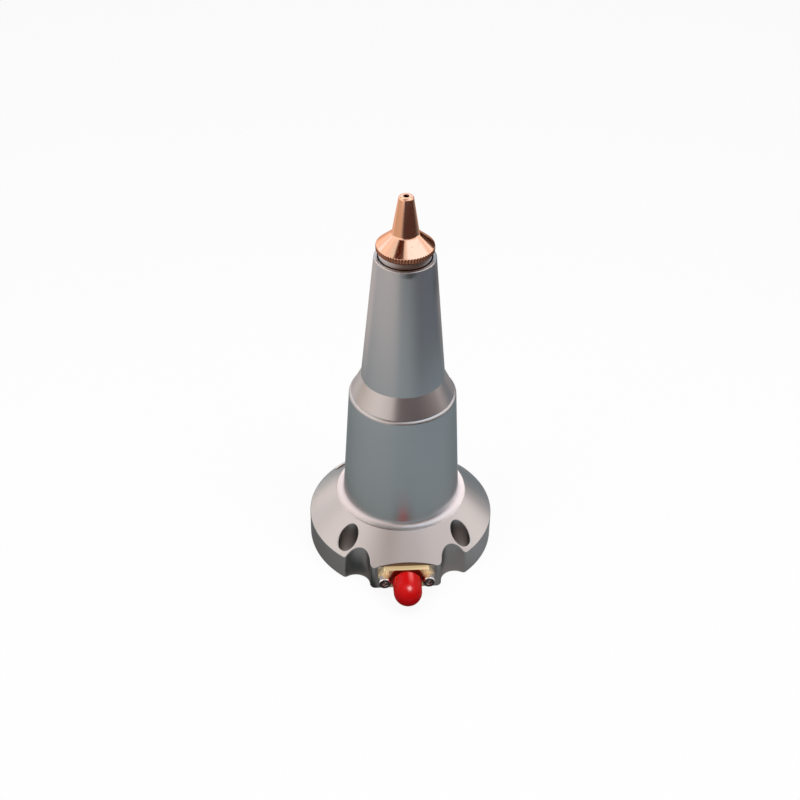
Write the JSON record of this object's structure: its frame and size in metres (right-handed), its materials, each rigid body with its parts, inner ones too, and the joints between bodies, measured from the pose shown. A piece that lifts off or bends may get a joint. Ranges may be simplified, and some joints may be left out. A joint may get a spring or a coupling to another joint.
{
  "type": "laser cutting head",
  "caption": "Conical laser cutting head: round mounting flange with a coax connector, tapered barrel, nose cone and a knurled copper nozzle.",
  "frame": {"origin": "centre of the mounting flange's underside, on the head's axis", "axes": "+Z along the head's axis from the flange to the nozzle, -Y towards the coax connector"},
  "size_m": [0.052, 0.0612, 0.1101],
  "materials": {
    "anodised_body": "satin anodised grey",
    "anodised_cone": "satin anodised grey",
    "ring_steel": "turned steel",
    "insulator_plastic": "machined engineering plastic",
    "tip_ceramic": "fired ceramic",
    "tube_brass": "turned brass",
    "seal_rubber": "black rubber",
    "holder_plate": "nickel plated",
    "washer_copper": "soft copper",
    "nozzle_copper": "polished copper",
    "connector_gold": "gold plated",
    "connector_white": "white fluoroplastic",
    "screw_steel": "bright steel",
    "cap_red": "glossy soft plastic",
    "wire_jacket": "white wire jacket"
  },
  "bodies": {
    "head": {"body": "anodised_body", "nose_cone": "anodised_cone", "lock_ring": "ring_steel", "lower_insulator": "insulator_plastic", "upper_insulator": "insulator_plastic", "tip_insulator": "tip_ceramic", "electrode_tube": "tube_brass", "base_seal": "seal_rubber", "nose_seal": "seal_rubber", "tube_seal": "seal_rubber", "insulator_seal": "seal_rubber", "tip_seal": "seal_rubber", "nozzle_holder": "holder_plate", "connector_shell": "connector_gold", "connector_dielectric": "connector_white", "connector_pin": "connector_gold", "connector_seal": "seal_rubber", "connector_screws": "screw_steel", "signal_wire": "wire_jacket", "contact_lug": "washer_copper", "contact_screw": "screw_steel"},
    "washer_carrier": {"nozzle_washer": "washer_copper"},
    "nozzle_turning": {"nozzle": "nozzle_copper"},
    "cap": {"dust_cap": "cap_red"}
  },
  "joints": [
    {"name": "nozzle_rise", "type": "slide", "parent": "head", "child": "washer_carrier", "axis": [0, 0, 1], "range_m": [0, 0.0038]},
    {"name": "nozzle_turn", "type": "hinge", "parent": "washer_carrier", "child": "nozzle_turning", "pos_m": [0, 0, 0.0947], "axis": [0, 0, 1], "range_deg": [0, 1332]},
    {"name": "cap_pull", "type": "slide", "parent": "head", "child": "cap", "axis": [0, -1, 0], "range_m": [0, 0.007]}
  ],
  "couplings": [
    {"joint": "nozzle_rise", "follows": "nozzle_turn", "m_per_rad": 0.00015915}
  ]
}
